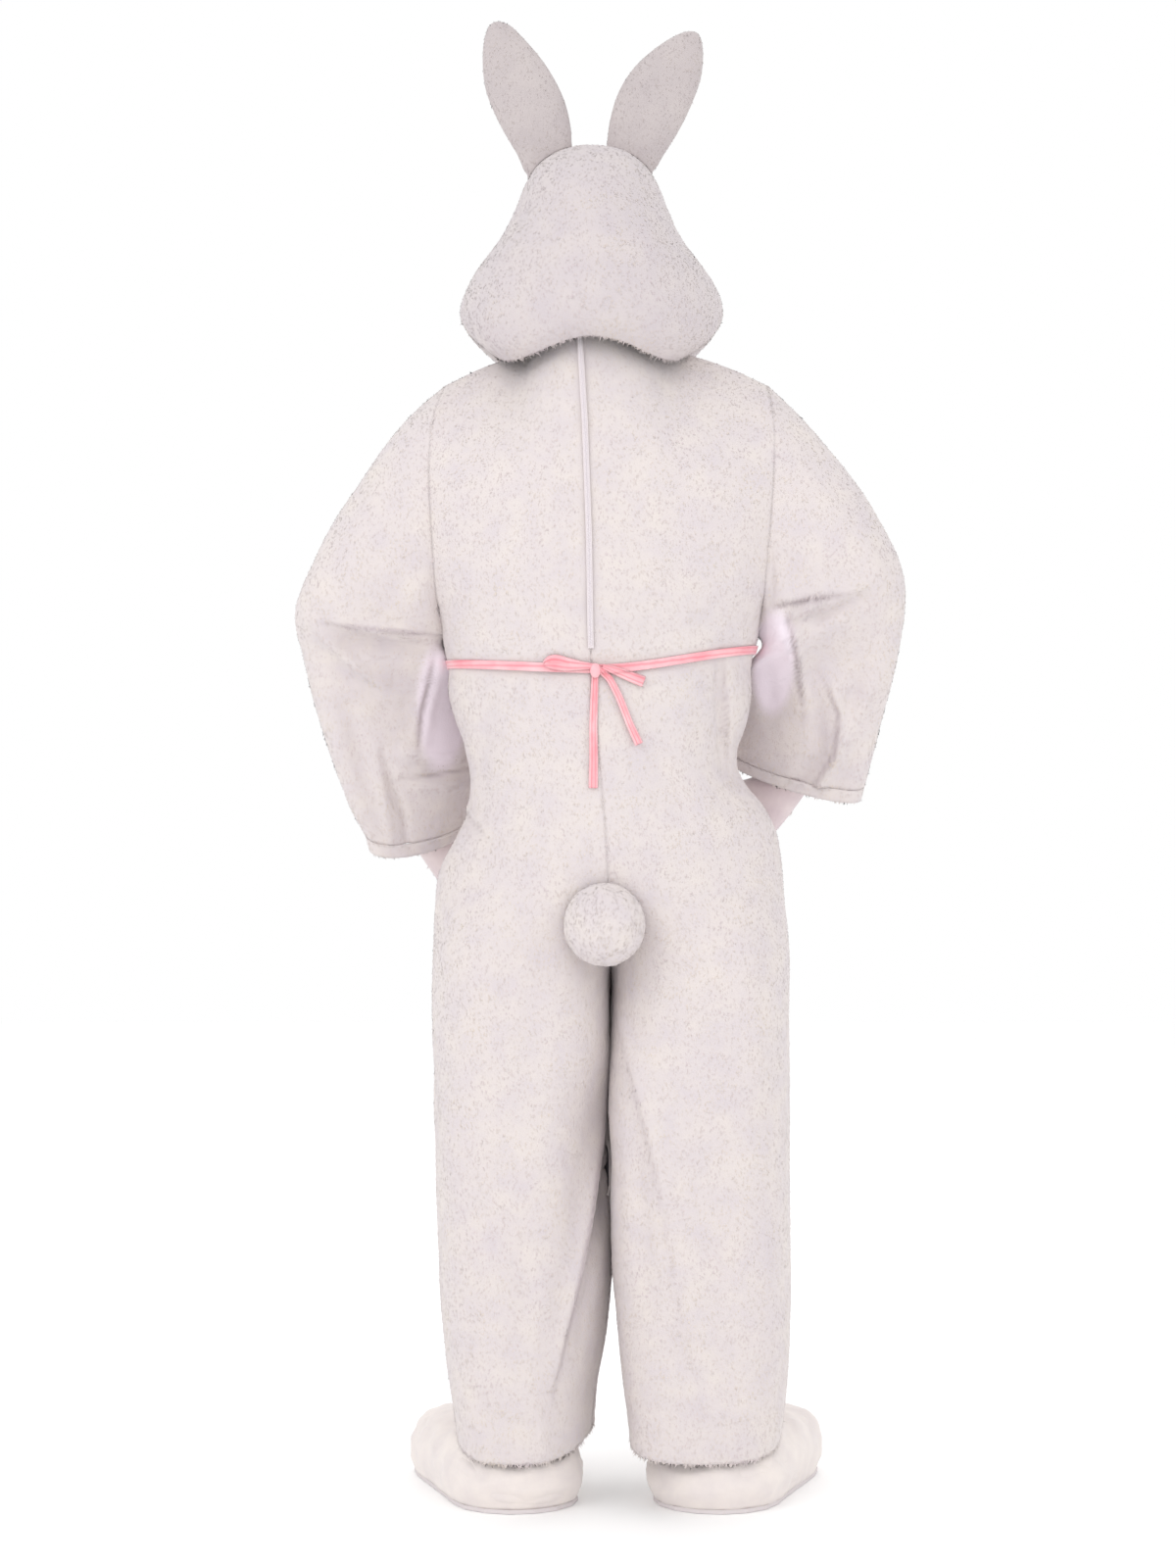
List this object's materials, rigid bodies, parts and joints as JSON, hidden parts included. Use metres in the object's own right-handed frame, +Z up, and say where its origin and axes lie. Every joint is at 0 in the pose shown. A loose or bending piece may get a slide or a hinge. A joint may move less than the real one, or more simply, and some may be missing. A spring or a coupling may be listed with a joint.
{
  "type": "rabbit mascot costume",
  "caption": "Worn plush rabbit costume: hollow head with ears, zipped jumpsuit with ball tail and tied waist ribbon, mittens and shoe covers.",
  "frame": {"origin": "the wearer's neck, on the centre line at the height of the neckline", "axes": "+Z up, +Y the way the wearer faces, +X the wearer's right"},
  "size_m": [0.7836, 0.4595, 1.8868],
  "materials": {
    "plush": "warm white plush with a short soft pile",
    "head_plush": "slightly greyer white plush over foam",
    "satin": "pink satin, soft sheen",
    "palm": "smooth mauve knit",
    "velour": "smooth white velour",
    "sole": "matt grey sole sheet",
    "metal": "plated metal",
    "nylon": "woven tape with a nylon coil",
    "eye": "black gloss"
  },
  "bodies": {
    "costume": {"back_left": "plush", "back_right": "plush", "bow_knot": "satin", "bow_loop_left": "satin", "bow_loop_right": "satin", "bow_tail_long": "satin", "bow_tail_short": "satin", "cuff_left": "plush", "cuff_right": "plush", "ear_front_left": "satin", "ear_front_right": "satin", "ear_left": "head_plush", "ear_right": "head_plush", "eye_left": "eye", "eye_right": "eye", "front_left": "plush", "front_right": "plush", "head_back": "head_plush", "head_face": "head_plush", "mitten_left_back": "plush", "mitten_left_palm": "palm", "mitten_left_thumb": "plush", "mitten_right_back": "plush", "mitten_right_palm": "palm", "mitten_right_thumb": "plush", "nose": "satin", "ribbon_waist": "satin", "shoe_cover_left": "velour", "shoe_cover_right": "velour", "shoe_sole_left": "sole", "shoe_sole_right": "sole", "sleeve_left_back": "plush", "sleeve_left_front": "plush", "sleeve_right_back": "plush", "sleeve_right_front": "plush", "tail": "plush", "zip_slider": "metal", "zip_tape": "nylon"},
    "zip_pull": {"zip_pull": "metal"}
  },
  "joints": [
    {"name": "zip_pull_swing", "type": "hinge", "parent": "costume", "child": "zip_pull", "pos_m": [-0.02702, -0.10092, 0.0405], "axis": [-1, 0, 0], "range_deg": [0, 150]}
  ]
}
